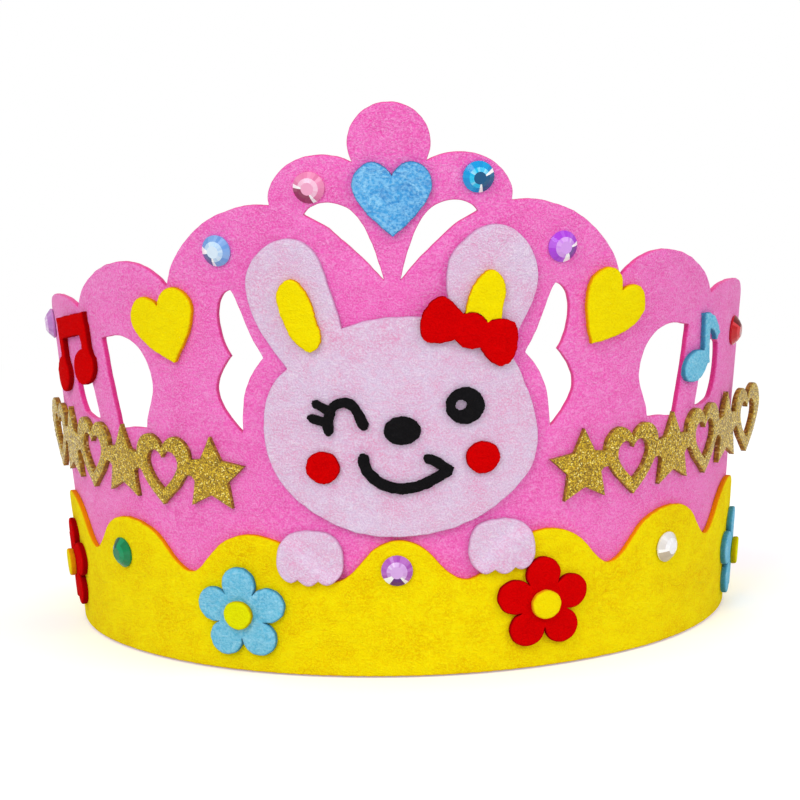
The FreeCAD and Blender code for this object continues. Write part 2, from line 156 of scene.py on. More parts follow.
floor = bpy.data.objects.new("floor", disc_mesh("floor", floor_radius))
bpy.context.scene.collection.objects.link(floor)
material, tree = new_material("pale_floor")
seen = add(tree, "LightPath")
seen_share = maths(tree, "MAXIMUM", seen.outputs["Is Camera Ray"], seen.outputs["Is Glossy Ray"])
glow = add(tree, "Emission", Color=(1, 1, 1, 1), Strength=maths(tree, "MULTIPLY", seen_share, floor_glow))
cover = add(tree, "BsdfDiffuse", Color=paint(232, 232, 232))
both = add(tree, "AddShader", i0=cover.outputs[0], i1=glow.outputs[0])
far = add(tree, "Emission", Color=(1, 1, 1, 1), Strength=maths(
    tree, "ADD", far_light, maths(tree, "MULTIPLY", seen_share, 1 - far_light)))
spot = add(tree, "TexCoord").outputs["Object"]
reach = add(tree, "VectorMath", operation="LENGTH", i0=spot).outputs["Value"]
fade = add(tree, "MapRange", interpolation_type="SMOOTHSTEP", Value=reach, From_Min=fade_from,
           From_Max=fade_to)
both = add(tree, "MixShader", i0=fade.outputs[0], i1=both.outputs[0], i2=far.outputs[0])
add(tree, "OutputMaterial", Surface=both.outputs[0])
floor.data.materials.append(material)

world = bpy.data.worlds.new("studio")
bpy.context.scene.world = world
world.use_nodes = True
tree = world.node_tree
tree.nodes.clear()
seen = add(tree, "LightPath")
seen_share = maths(tree, "MAXIMUM", seen.outputs["Is Camera Ray"], seen.outputs["Is Transmission Ray"])
strength = maths(tree, "ADD", world_light, maths(tree, "MULTIPLY", seen_share, 1 - world_light))
background = add(tree, "Background", Color=(1, 1, 1, 1), Strength=strength)
add(tree, "OutputWorld", Surface=background.outputs[0])


def soft_lamp(name, place, size, level):
    """Square lamp aimed at the crown. A level of 1 alone would show a white surface as white."""
    lamp = bpy.data.objects.new(name, bpy.data.lights.new(name, "AREA"))
    lamp.data.size = size
    aim = lamp_aim - Vector(place)
    lamp.data.energy = level * math.pi ** 2 * aim.length_squared
    lamp.matrix_world = Matrix.Translation(place) @ aim.to_track_quat("-Z", "Y").to_matrix().to_4x4()
    bpy.context.scene.collection.objects.link(lamp)
    print(name, round(lamp.data.energy, 2), "W")


soft_lamp("key_lamp", (-0.55, -1.15, 1.05), 0.8, 0.36)
soft_lamp("side_lamp", (0.95, -0.7, 0.75), 0.7, 0.2)
soft_lamp("top_lamp", (0.1, 0.5, 1.3), 0.9, 0.12)

bpy.context.scene.view_settings.view_transform = "Standard"

# %% [markdown]
# ## From the pattern to the ring
# The ring is a piece of a cone. Three numbers say where a point of the pattern goes: *along* is
# measured round the inside of the band, *up* over the rim, and *offset* is how far the point lies
# outward of the band's inner side. We measure the cone on the CAD band, so that nothing has to be
# fitted by eye.

# %% The ring
def corners_of(node):
    """All corner points of a CAD node, in millimetres, as one array."""
    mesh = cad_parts[node].data
    points = np.empty(len(mesh.vertices) * 3, np.float32)
    mesh.vertices.foreach_get("co", points)
    return points.reshape(-1, 3).astype(float) / MM


points = corners_of("crown_band")
reach = np.hypot(points[:, 0], points[:, 1])
foot, peak = points[:, 2] < 0.01, points[:, 2] > points[:, 2].max() - 0.01
ring_radius = reach[foot].min()
felt = reach[foot].max() - ring_radius
slope = (reach[peak].min() - ring_radius) / points[:, 2].max()
print("ring radius %.2f mm, felt %.2f mm, lean %.2f degrees"
      % (ring_radius, felt, math.degrees(math.atan(slope))))


def bend(along, up, offset, free=math.pi, turn=0.0):
    """Points on the ring, in millimetres. The angle is along / radius at that height. Past the free
    angle a piece goes on straight, on the tangent. turn moves the whole piece round the ring."""
    radius = ring_radius + up * slope
    angle = np.clip(along / radius, -free, free)
    past = along - angle * radius
    out = radius + offset
    angle = angle + turn
    return np.stack([np.sin(angle) * out + np.cos(angle) * past,
                     np.sin(angle) * past - np.cos(angle) * out, up], axis=-1)


def flatten(points, free=math.pi, turn=0.0):
    """The way back: along, up and offset of points on the ring."""
    x, y = points[:, 0] * math.cos(turn) + points[:, 1] * math.sin(turn), \
        points[:, 1] * math.cos(turn) - points[:, 0] * math.sin(turn)
    radius = ring_radius + points[:, 2] * slope
    angle = np.clip(np.arctan2(x, -y), -free, free)
    past = x * np.cos(angle) + y * np.sin(angle)
    out = x * np.sin(angle) - y * np.cos(angle)
    return angle * radius + past, points[:, 2], out - radius


# %% [markdown]
# ## Reading a cut-out from the frame
# A CAD node is a shell of loose triangles. Those with all three corners on its outer side are the
# skin that we see, and the edges that only one of them uses are its outline. To put the outline in
# order without walking along it, each point looks twice as far ahead in every round: after a dozen
# rounds it knows the first point of its loop, and how many points lie before it.

# %% Outline of a node
def outline(node, free=math.pi, turn=0.0):
    """Closed loops of (along, up) round a flat piece, the inner and the outer offset."""
    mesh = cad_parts[node].data
    mesh.calc_loop_triangles()
    triangles = np.empty(len(mesh.loop_triangles) * 3, np.int32)
    mesh.loop_triangles.foreach_get("vertices", triangles)
    points, same = np.unique(np.round(corners_of(node), 4), axis=0, return_inverse=True)
    triangles = same.reshape(-1)[triangles].reshape(-1, 3)
    along, up, offset = flatten(points, free, turn)
    outer = offset > offset.max() - 0.2
    skin = triangles[outer[triangles].all(axis=1)]
    sides = np.concatenate([skin[:, [0, 1]], skin[:, [1, 2]], skin[:, [2, 0]]])
    code = sides.min(axis=1) * len(points) + sides.max(axis=1)
    _, first, count = np.unique(code, return_index=True, return_counts=True)
    rim = sides[first[count == 1]]
    own = np.arange(len(points))
    after = own.copy()
    after[rim[:, 0]] = rim[:, 1]
    rounds = int(math.log2(len(points))) + 1
    head, jump = own.copy(), after.copy()
    for _ in range(rounds):
        head, jump = np.minimum(head, head[jump]), jump[jump]
    last = after == head
    left, jump = (~last).astype(int), np.where(last, own, after)
    for _ in range(rounds):
        left, jump = left + left[jump], jump[jump]
    used = rim[:, 0]
    order = used[np.lexsort((-left[used], head[used]))]
    loops = np.split(order, np.flatnonzero(np.diff(head[order])) + 1)
    return [np.column_stack([along[loop], up[loop]]) for loop in loops], offset.min(), offset.max()


# %% [markdown]
# The CAD outline is cut in short straight runs. We draw a smooth curve through its points, keep the
# real corners, and divide it in steps of under a millimetre. A blade never follows its line quite:
# a few slow waves of some hundredths of a millimetre make the cut edge that of felt.

# %% Smooth, divided outline
def smooth(loop, step, corner=32.0, straight=7.0):
    """Hermite curve through the points of a loop. Its slope at a point is the mean of the two runs
    that meet there, each counted by the other's length. Corners and long runs stay straight."""
    loop = loop[np.linalg.norm(loop - np.roll(loop, 1, axis=0), axis=1) > 0.15]
    run = np.roll(loop, -1, axis=0) - loop
    length = np.linalg.norm(run, axis=1)
    aim = run / length[:, None]
    before, before_length = np.roll(aim, 1, axis=0), np.roll(length, 1)
    mean = before * length[:, None] + aim * before_length[:, None]
    mean /= np.maximum(np.linalg.norm(mean, axis=1), 1e-9)[:, None]
    sharp = (before * aim).sum(axis=1) < math.cos(math.radians(corner))
    long_run = length > straight
    leave = np.where((sharp | long_run)[:, None], aim, mean)
    arrive = np.where(np.roll(sharp, -1)[:, None] | long_run[:, None], aim, np.roll(mean, -1, axis=0))
    parts = np.ceil(length / step).astype(int)
    which = np.repeat(np.arange(len(loop)), parts)
    t = (np.arange(len(which)) - np.repeat(np.cumsum(parts) - parts, parts)) / parts[which]
    t = t[:, None]
    a, b = loop[which], np.roll(loop, -1, axis=0)[which]
    u, v = leave[which] * length[which, None], arrive[which] * length[which, None]
    return (2 * t ** 3 - 3 * t ** 2 + 1) * a + (t ** 3 - 2 * t ** 2 + t) * u \
        + (3 * t ** 2 - 2 * t ** 3) * b + (t ** 3 - t ** 2) * v


def edge_normals(loop):
    """Unit vectors in the pattern that point out of the piece, square to the cut edge."""
    ahead, behind = np.roll(loop, -1, axis=0) - loop, loop - np.roll(loop, 1, axis=0)
    ahead /= np.maximum(np.linalg.norm(ahead, axis=1), 1e-9)[:, None]
    behind /= np.maximum(np.linalg.norm(behind, axis=1), 1e-9)[:, None]
    tangent = ahead + behind
    size = np.maximum(np.linalg.norm(tangent, axis=1), 0.9)[:, None]
    tangent = tangent / size
    return np.column_stack([tangent[:, 1], -tangent[:, 0]])


def tip_share(loop, reach, corner=28.0):
    """Share of the shoulder at each point: small at sharp corners, whole from a short reach on. It
    keeps the rows of the profile from crossing where the outline comes to a point."""
    ahead, behind = np.roll(loop, -1, axis=0) - loop, loop - np.roll(loop, 1, axis=0)
    size = np.linalg.norm(ahead, axis=1) * np.linalg.norm(behind, axis=1)
    sharp = (ahead * behind).sum(axis=1) < math.cos(math.radians(corner)) * size
    if not sharp.any():
        return np.ones(len(loop))
    return np.clip(gap_to(loop, loop[sharp]) / reach, 0.2, 1)


def blade_wander(loop, amount, chance):
    """How far the cut strays outward at each point: sine waves that close up round the loop."""
    step = np.linalg.norm(np.roll(loop, -1, axis=0) - loop, axis=1)
    total = step.sum()
    place = np.cumsum(step)[:, None] / total
    waves = np.round(total / chance.uniform(1.6, 9.0, 6))
    phase = chance.uniform(0, 2 * np.pi, 6)
    return amount * np.sin(2 * np.pi * waves * place + phase).sum(axis=1) / 2.4


# %% [markdown]
# ## A sheet of felt
# The two faces of a sheet are filled with triangles between scattered points, so that the felt can be
# a little uneven. For that we need to know which points lie inside an outline and how far they are
# from it. A slow wave runs through the whole crown: it lifts every layer of felt and card at a place
# by the same amount, so that the layers stay together. Only the tab at the back stays on its tapes.

# %% Points of a sheet
def inside(points, loops):
    """True for the points inside the loops: a level ray from them crosses the outline an odd number
    of times."""
    a = np.concatenate(loops)
    b = np.concatenate([np.roll(loop, -1, axis=0) for loop in loops])
    found = []
    for part in np.array_split(points, max(1, len(points) // 2000)):
        x, y = part[:, :1], part[:, 1:]
        spans = (a[:, 1] > y) != (b[:, 1] > y)
        rise = np.where(b[:, 1] == a[:, 1], 1, b[:, 1] - a[:, 1])
        crossed = spans & (x < a[:, 0] + (y - a[:, 1]) * (b[:, 0] - a[:, 0]) / rise)
        found.append(crossed.sum(axis=1) % 2 == 1)
    return np.concatenate(found)


def gap_to(points, edge):
    """Distance from each point to the nearest of the points of an edge."""
    parts = np.array_split(points, max(1, len(points) // 1000))
    return np.concatenate([np.sqrt(((part[:, None, :] - edge) ** 2).sum(axis=2).min(axis=1))
                           for part in parts])


def scatter(loops, spacing, chance):
    """Points inside the loops, on rows like bricks, each moved a little at random."""
    low, high = np.concatenate(loops).min(axis=0), np.concatenate(loops).max(axis=0)
    columns = np.arange(low[0], high[0], spacing)
    rows = np.arange(low[1], high[1], spacing * 0.87)
    x, y = np.meshgrid(columns, rows)
    x = x + spacing / 2 * (np.arange(len(rows)) % 2)[:, None]
    grid = np.column_stack([x.ravel(), y.ravel()])
    grid = grid + chance.uniform(-0.22, 0.22, grid.shape) * spacing
    grid = grid[inside(grid, loops)]
    return grid[gap_to(grid, np.concatenate(loops)) > 0.55 * spacing]


def wave_field(along, up, amount):
    """Slow unevenness of the whole crown, outward, the same for every layer that lies there."""
    return amount * (np.sin(along / 17.0 + 1.3) * np.sin(up / 23.0 + 0.4)
                     + 0.7 * np.sin(along / 9.1 - up / 14.0) + 0.5 * np.sin(up / 8.3 + along / 31.0))


# %% [markdown]
# The cut edge is a small profile carried round the outline: a soft shoulder at the front, a flat
# side, and a soft shoulder at the back. The outline is moved a little by the blade, the profile goes
# round it, and the faces are filled in. Bending comes last, for all points together.

# %% Shape of a sheet
# Each row of the shoulder: distance in from the edge, depth under the front, share of cut.
shoulder_rows = np.array([[1.0, 0.0, 0.0], [0.62, 0.08, 0.15], [0.26, 0.32, 0.5], [0.04, 0.75, 0.9]])


def edge_profile(thickness, shoulder):
    """Rows of (distance in from the edge, depth under the front, share of cut), front to back."""
    front = shoulder_rows * [shoulder, shoulder, 1.0]
    middle = np.array([[0.0, thickness / 2, 1.0]])
    back = (front * [1, -1, 1] + [0, thickness, 0])[::-1]
    return np.concatenate([front, middle, back])


def fill_inside(count, ahead, edge_points, grid, loops):
    """Triangles between the points of the edge, numbered first, and the grid. They follow the
    triangulation of Delaunay, and those outside the loops or in a hole are left out."""
    links = np.column_stack([np.arange(count), ahead])
    every = np.concatenate([edge_points, grid])
    places = [Vector(point) for point in every]
    _, _, faces, origin, _, _ = delaunay_2d_cdt(places, links.tolist(), [], 2, 1e-5)
    origin = np.array([own[0] if own else -1 for own in origin])
    faces = origin[np.array([face for face in faces if len(face) == 3])]
    faces = faces[(faces >= 0).all(axis=1)]
    faces = faces[inside(every[faces].mean(axis=1), loops)]
    a, b, c = every[faces[:, 0]], every[faces[:, 1]], every[faces[:, 2]]
    turned = np.cross(b - a, c - a) < 0
    faces[turned] = faces[turned][:, ::-1]
    return faces


def sheet_shape(loops, inner, thickness, shoulder=0.4, spacing=3.0, blade=0.035, uneven=0.03, seed=1,
                drape=None, free=math.pi, turn=0.0, facets=0.0, sway=0.12, grow=0.0, fuzz=0.0):
    """Mesh data of a sheet, lengths in millimetres. shoulder is the rounding of the cut edge, spacing
    that of the points on the faces, blade and fuzz how far the cut strays, grow how far the sheet
    reaches past its outline, uneven and facets how rough its faces are, sway how much it waves. The
    results are points in metres, side faces, front and back faces, the pattern coordinates and the
    share of cut edge at each point, and the number of front faces."""
    chance = np.random.default_rng(seed)
    profile = edge_profile(thickness, shoulder)
    normals = [edge_normals(loop) for loop in loops]
    loops = [loop + normal * (grow + blade_wander(loop, blade, chance)
                              + fuzz * chance.uniform(-1, 1, len(loop)))[:, None]
             for loop, normal in zip(loops, normals)]
    normals = [normal * tip_share(loop, 2.6 * shoulder)[:, None] for loop, normal in zip(loops, normals)]
    ring, normal = np.concatenate(loops), np.concatenate(normals)
    count = len(ring)
    sizes = [len(loop) for loop in loops]
    starts = np.cumsum(sizes) - sizes
    ahead = np.concatenate([start + np.roll(np.arange(size), -1) for start, size in zip(starts, sizes)])
    inset = profile[:, 0][:, None, None]
    flat = (ring - normal * inset).reshape(-1, 2)
    depth = np.repeat(profile[:, 1], count)
    cut = np.repeat(profile[:, 2], count)
    front_loops = [loop - size * shoulder for loop, size in zip(loops, normals)]
    grid = scatter(front_loops, spacing, chance)

    faces = fill_inside(count, ahead, np.concatenate(front_loops), grid, front_loops)
    rows = len(profile)
    row = np.arange(rows - 1)[:, None] * count
    own = np.arange(count)[None, :]
    side = np.stack([row + own, row + count + own, row + count + ahead[None, :], row + ahead[None, :]],
                    axis=-1).reshape(-1, 4)
    first_grid = rows * count
    front = np.where(faces < count, faces, faces - count + first_grid)
    back = np.where(faces < count, faces + (rows - 1) * count, faces - count + first_grid + len(grid))
    back = back[:, ::-1]
    flat = np.concatenate([flat, grid, grid])
    lift = chance.uniform(-1, 1, len(grid)) * uneven
    if facets:
        lift = chance.uniform(0, 1, len(grid)) * facets
    depth = np.concatenate([depth, -lift, np.full(len(grid), thickness)])
    cut = np.concatenate([cut, np.zeros(2 * len(grid))])
    along, up = flat[:, 0], np.maximum(flat[:, 1], 0)
    base = inner if drape is None else inner + drape(flat)
    offset = base + thickness - depth + wave_field(along, up, sway if not turn else 0.0)
    points = bend(along, up, offset, free, turn) * MM
    pattern = np.column_stack([along, up, offset])
    return points, side, np.concatenate([front, back]), pattern, cut, len(front)


# %% [markdown]
# The arrays become a mesh with `foreach_set`, which copies a whole array at once. The pattern
# coordinates and the share of cut edge go along as attributes, for the materials to read.

# %% Object from arrays
def to_object(name, points, quads, triangles, pattern=None, cut=None, smooth_sides=True, flat_front=0):
    """Object from arrays. The quads come first, then the triangles, of which the first flat_front keep
    their facets."""
    mesh = bpy.data.meshes.new(name)
    mesh.vertices.add(len(points))
    mesh.vertices.foreach_set("co", points.astype(np.float32).ravel())
    mesh.loops.add(quads.size + triangles.size)
    corners = np.concatenate([quads.ravel(), triangles.ravel()])
    mesh.loops.foreach_set("vertex_index", corners.astype(np.int32))
    sizes = np.concatenate([np.full(len(quads), 4), np.full(len(triangles), 3)])
    mesh.polygons.add(len(sizes))
    mesh.polygons.foreach_set("loop_start", (np.cumsum(sizes) - sizes).astype(np.int32))
    mesh.polygons.foreach_set("loop_total", sizes.astype(np.int32))
    shade = np.full(len(sizes), smooth_sides)
    if flat_front:
        shade[len(quads):len(quads) + flat_front] = False
    mesh.polygons.foreach_set("use_smooth", shade)
    mesh.update()
    mesh.validate()
    if pattern is not None:
        layer = mesh.attributes.new("pattern", "FLOAT_VECTOR", "POINT")
        layer.data.foreach_set("vector", pattern.astype(np.float32).ravel())
        layer = mesh.attributes.new("cut", "FLOAT", "POINT")
        layer.data.foreach_set("value", cut.astype(np.float32))
    thing = bpy.data.objects.new(name, mesh)
    bpy.context.scene.collection.objects.link(thing)
    return thing


# %% [markdown]
# ## The felt
# Craft felt is a mat of short fibres pressed together. Close up it has clouds of darker colour some
# millimetres wide, a fine speckle, and fibres that cross in all directions. All of it is noise. For
# the fibres the noise is stretched seven times in one direction, and four such layers lie over each
# other at different angles: two of light fibres and two of the shadows between them. The group reads
# the pattern coordinates, so the grain runs round the ring with the sheet and over its cut edge.

# %% Node group of the felt
def make_group(name, inputs, outputs):
    """Empty shader node group with named sockets: name, kind and default value of each."""
    group = bpy.data.node_groups.new(name, "ShaderNodeTree")
    for title, kind, value in inputs:
        socket = group.interface.new_socket(title, in_out="INPUT", socket_type="NodeSocket" + kind)
        if value is not None:
            socket.default_value = value
    for title, kind in outputs:
        group.interface.new_socket(title, in_out="OUTPUT", socket_type="NodeSocket" + kind)
    return group, group.nodes.new("NodeGroupInput").outputs, group.nodes.new("NodeGroupOutput").inputs


felt_group, given, wanted = make_group(
    "felt_fibres",
    [("Pattern", "Vector", None), ("Colour", "Color", (1, 1, 1, 1)), ("Light fibres", "Color", (1, 1, 1, 1)),
     ("Dark fibres", "Color", (0, 0, 0, 1)), ("Clouds", "Float", 0.3), ("Cut", "Float", 0.0),
     ("Painted edge shade", "Color", (0, 0, 0, 1)), ("Grain", "Float", 0.6)],
    [("Colour", "Color"), ("Height", "Float"), ("Roughness", "Float")])


def felt_maths(operation, *values):
    """Math node in the felt's group."""
    return maths(felt_group, operation, *values)


def noise(place, scale, detail, roughness, low, high):
    """Noise in the felt's group, spread so that low becomes 0 and high becomes 1."""
    node = add(felt_group, "TexNoise", Vector=place, Scale=scale, Detail=detail, Roughness=roughness)
    return add(felt_group, "MapRange", Value=node.outputs["Fac"], From_Min=low, From_Max=high).outputs[0]


def crossing_fibres(layers, low, high):
    """The higher of two layers of stretched noise, each laid at its own angle and fineness."""
    found = []
    for turned, fine in layers:
        laid = add(felt_group, "Mapping", Vector=drift, Rotation=(0, 0, turned),
                   Scale=(stretch * fine, fine, fine))
        node = add(felt_group, "TexNoise", Vector=laid.outputs[0], Scale=1.0, Detail=3.0, Roughness=0.65)
        found.append(node.outputs["Fac"])
    both = felt_maths("MAXIMUM", *found)
    return add(felt_group, "MapRange", Value=both, From_Min=low, From_Max=high).outputs[0]


stretch = 0.14                           # a fibre is seven times as long as it is wide
drift = add(felt_group, "TexNoise", Vector=given["Pattern"], Scale=0.22, Detail=2.0)
drift = add(felt_group, "VectorMath", operation="SCALE", i0=drift.outputs["Color"], Scale=8.0)
drift = add(felt_group, "VectorMath", operation="ADD", i0=given["Pattern"], i1=drift.outputs[0]).outputs[0]
strands = crossing_fibres(((0.35, 1.3), (1.35, 1.5)), 0.52, 0.72)
shadows = crossing_fibres(((2.5, 1.2), (0.9, 1.1)), 0.54, 0.76)
grain = noise(given["Pattern"], 2.2, 2.0, 0.6, 0.4, 0.6)
clouds = noise(given["Pattern"], 0.11, 5.0, 0.65, 0.4, 0.66)

light_share = felt_maths("MULTIPLY", felt_maths("ADD", strands, grain),
                         felt_maths("MULTIPLY", 0.5, given["Grain"]))
shadow_share = felt_maths("MULTIPLY", shadows, felt_maths("MULTIPLY", 0.6, given["Grain"]))
cloud_share = felt_maths("MULTIPLY", felt_maths("MULTIPLY", clouds, given["Clouds"]),
                         felt_maths("SUBTRACT", 1.25, grain))
dark_share = felt_maths("ADD", shadow_share, cloud_share)
colour = blend_colours(felt_group, light_share, given["Colour"], given["Light fibres"])
colour = blend_colours(felt_group, dark_share, colour, given["Dark fibres"])
# The cut edge is coloured darker and deeper: painted shade on the cut side of the felt.
painted_edge_shade = felt_maths("MULTIPLY", given["Cut"], 0.85)
colour = blend_colours(felt_group, painted_edge_shade, colour, given["Painted edge shade"])
raised = felt_maths("ADD", felt_maths("MULTIPLY", strands, 0.5), felt_maths("MULTIPLY", grain, 0.5))
height = felt_maths("SUBTRACT", raised, felt_maths("MULTIPLY", shadows, 0.3))
felt_group.links.new(colour, wanted["Colour"])
felt_group.links.new(height, wanted["Height"])
felt_group.links.new(felt_maths("SUBTRACT", 1.0, felt_maths("MULTIPLY", strands, 0.2)), wanted["Roughness"])
print("felt_fibres:", len(felt_group.nodes), "nodes")

# %% [markdown]
# Each colour of felt is a material around that group. It has four colours, of the felt, of its light
# and dark fibres and the painted shade of its cut edge, and a few numbers: how strong its clouds and
# its grain are, how coarse its fibres are, and how much it shines. The white felt of the photograph has
# pink fibres in it, and the yellow trim is stained with orange.

# %% Felt materials
def felt_material(name, colour, light, dark, cut, clouds=0.3, grain=0.5, coarse=1.0, sheen=0.04, gloss=0.1):
    """Felt of one colour: dull, with a faint sheen of loose fibres where it turns away."""
    material, tree = new_material(name + "_felt")
    pattern = add(tree, "Attribute", attribute_name="pattern")
    place = add(tree, "VectorMath", operation="SCALE", i0=pattern.outputs["Vector"], Scale=1 / coarse)
    edge = add(tree, "Attribute", attribute_name="cut")
    node = tree.nodes.new("ShaderNodeGroup")
    node.node_tree = felt_group
    tree.links.new(place.outputs[0], node.inputs["Pattern"])
    tree.links.new(edge.outputs["Fac"], node.inputs["Cut"])
    # The last of these colours is painted shade on the cut edge.
    colours = {"Colour": colour, "Light fibres": light, "Dark fibres": dark, "Painted edge shade": cut}
    for title, value in colours.items():
        node.inputs[title].default_value = paint(*value)
    node.inputs["Clouds"].default_value = clouds
    node.inputs["Grain"].default_value = grain
    bumps = add(tree, "Bump", Strength=0.6, Distance=0.3 * MM, Height=node.outputs["Height"])
    surface = add(tree, "BsdfPrincipled", Base_Color=node.outputs["Colour"],
                  Roughness=node.outputs["Roughness"], Normal=bumps.outputs[0], Sheen_Weight=sheen,
                  Sheen_Roughness=0.5)
    surface.inputs["Specular IOR Level"].default_value = gloss
    add(tree, "OutputMaterial", Surface=surface.outputs[0])
    return material


dull = {"sheen": 0.01, "gloss": 0.03}
# The fourth colour of each felt is painted shade for its cut edge.
felts = {
    "pink": felt_material("pink", (250, 100, 196), (255, 174, 230), (232, 60, 160), (230, 20, 132),
                          grain=0.85, sheen=0.28),
    "yellow": felt_material("yellow", (252, 228, 0), (255, 244, 20), (230, 172, 0), (234, 112, 8),
                            clouds=0.42, grain=0.7, **dull),
    "bright": felt_material("bright", (252, 230, 0), (255, 242, 20), (240, 200, 0), (226, 130, 8),
                            clouds=0.2, **dull),
    "lemon": felt_material("lemon", (236, 240, 0), (246, 250, 24), (214, 204, 0), (190, 150, 0), **dull),
    "white": felt_material("white", (222, 194, 226), (250, 238, 252), (236, 146, 194), (205, 150, 195),
                           clouds=0.45, grain=0.8),
    "red": felt_material("red", (214, 0, 2), (234, 4, 6), (180, 0, 4), (130, 0, 6), sheen=0.0, gloss=0.02),
    "black": felt_material("black", (15, 14, 16), (26, 24, 27), (5, 4, 6), (8, 4, 6), sheen=0.02),
    "blue": felt_material("blue", (72, 166, 230), (160, 220, 255), (36, 108, 190), (20, 96, 150),
                          grain=1.0, coarse=1.6),
    "sky": felt_material("sky", (104, 194, 228), (170, 226, 248), (70, 160, 204), (40, 120, 160),
                         grain=0.8, coarse=1.4),
}
print("felts:", ", ".join(felts))

# %% [markdown]
# ## Cutting out the felt pieces
# Each piece takes its outline, its layer and its thickness from the CAD node that it stands for. The black
# strokes are a little fuller than in the CAD model, as the photograph shows them.


def felt_piece(node, cloth, slot, rests_on=(), held="laid", step=0.8, **settings):
    """Felt piece that replaces a CAD node. The settings go to sheet_shape."""
    turn = settings.get("turn", 0.0)
    loops, inner, outer = outline(node, turn=turn)
    loops = [smooth(loop, step) for loop in loops]
    if settings.get("drape") is not None:
        inner = outer - felt
    made = sheet_shape(loops, inner, outer - inner, seed=len(node) * 31 + sum(map(ord, node)), **settings)
    piece = to_object("felt_" + node, *made[:5])
    piece.data.materials.append(felts[cloth])
    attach(piece, "root")
    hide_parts(node)
    return piece


band = felt_piece("crown_band", "pink", "pink_felt", held="stretched", spacing=3.4)
trim = felt_piece("yellow_trim", "yellow", "yellow_felt", rests_on=[band], spacing=3.2)
rabbit = felt_piece("rabbit_head", "white", "lilac_felt", rests_on=[band, trim], spacing=2.4, step=0.6)

on_rabbit = {"ear_inner_left": "bright", "ear_inner_right": "bright", "bow": "red", "cheek_left": "red",
             "cheek_right": "red", "wink_eye": "black", "open_eye": "black", "nose": "black",
             "mouth": "black"}
on_band = {"heart_top": "blue", "heart_left": "bright", "heart_right": "bright", "note_left": "red",
           "note_right": "sky"}
slots = {"bright": "yellow_felt", "lemon": "yellow_felt", "sky": "blue_felt", "blue": "blue_felt",
         "red": "red_felt", "black": "black_felt"}
stroke_growth = 0.17
for node, cloth in on_rabbit.items():
    felt_piece(node, cloth, slots[cloth], rests_on=[rabbit], spacing=1.5, step=0.4, shoulder=0.5,
               blade=0.06, grow=stroke_growth if cloth == "black" else 0.0, fuzz=0.07)
for node, cloth in on_band.items():
    felt_piece(node, cloth, slots[cloth], rests_on=[band], spacing=1.8, step=0.5, shoulder=0.5,
               blade=0.05, fuzz=0.06)
for name, cloth, disc in (("blue_left", "sky", "lemon"), ("red_right", "red", "bright"),
                          ("red_far", "red", "bright"), ("blue_far", "sky", "lemon")):
    flower = felt_piece("flower_" + name, cloth, slots[cloth], rests_on=[trim], spacing=1.8, step=0.5,
                        shoulder=0.5, blade=0.05)
    felt_piece("flower_disc_" + name, disc, slots[disc], rests_on=[flower], spacing=1.5, step=0.4,
               shoulder=0.5, blade=0.05)
felt_piece("closing_tab", "pink", "pink_felt", rests_on=["hook_tape_left", "hook_tape_right"], turn=math.pi)

# %% [markdown]
# The paws hold on to the wavy edge of the yellow trim. Each lies on the trim with its lower half and
# on the band with its upper half, one layer further in. Felt steps down softly there: how far it is
# lifted follows the distance from the edge of the trim.

# %% Paws
step_length = 3.2                        # over this distance the paw comes down by one layer
trim_loops = [smooth(loop, 1.5) for loop in outline("yellow_trim")[0]]
trim_edge = np.concatenate(trim_loops)


def over_trim(flat):
    """Offset of a sheet that lies partly on the trim: none on it, one layer inward off it, and between
    them a smooth step, 3 t^2 - 2 t^3 of the way for a share t of its length."""
    away = np.where(inside(flat, trim_loops), 0.0, gap_to(flat, trim_edge))
    t = np.clip(away / step_length, 0, 1)
    return -felt * t * t * (3 - 2 * t)


for side in ("left", "right"):
    felt_piece("paw_" + side, "white", "lilac_felt", rests_on=[trim, band], spacing=1.3, step=0.5,
               shoulder=0.55, blade=0.05, drape=over_trim)

# %% [markdown]
# ## Glitter card
# The gold pieces are thick card covered with flakes of gold foil. Each flake lies at its own angle, so
# some flash and some are dark. We give the front thousands of small flat triangles with their corners
# at random heights: every triangle is a flake, and its slope does the rest. A random number per face
# also paints some flakes dark and some nearly white: painted shade and painted glints. Past the free
# angle the card is too stiff to follow the ring and stands off straight.

# %% Gold garlands
flake_size, flake_rise = 0.42, 0.16      # millimetres
glitter_group, given, wanted = make_group(
    "glitter_flakes", [("Painted flash", "Float", 0.5), ("Cut", "Float", 0.0)],
    [("Colour", "Color"), ("Roughness", "Float"), ("Metallic", "Float")])
# The ramp runs from dark painted shade through gold to near-white painted glints.
ramp = add(glitter_group, "ValToRGB", Fac=given["Painted flash"])
flash_tones = ((0.0, (100, 74, 0)), (0.35, (158, 124, 0)), (0.7, (196, 158, 4)), (0.93, (234, 202, 44)),
          (1.0, (255, 246, 160)))
while len(ramp.color_ramp.elements) < len(flash_tones):
    ramp.color_ramp.elements.new(0.5)
for element, (position, colour) in zip(ramp.color_ramp.elements, flash_tones):
    element.position, element.color = position, paint(*colour)
edge = maths(glitter_group, "MULTIPLY", given["Cut"], 0.6)
colour = blend_colours(glitter_group, edge, ramp.outputs["Color"], paint(120, 76, 6))
glitter_group.links.new(colour, wanted["Colour"])
glitter_group.links.new(maths(glitter_group, "ADD", 0.3, maths(glitter_group, "MULTIPLY", edge, 0.5)),
                        wanted["Roughness"])
glitter_group.links.new(maths(glitter_group, "SUBTRACT", 0.3, maths(glitter_group, "MULTIPLY", edge, 0.4)),
                        wanted["Metallic"])
gold, tree = new_material("gold_glitter")
painted_flash = add(tree, "Attribute", attribute_name="painted_flash")
edge = add(tree, "Attribute", attribute_name="cut")
node = tree.nodes.new("ShaderNodeGroup")
node.node_tree = glitter_group
tree.links.new(painted_flash.outputs["Fac"], node.inputs["Painted flash"])
tree.links.new(edge.outputs["Fac"], node.inputs["Cut"])
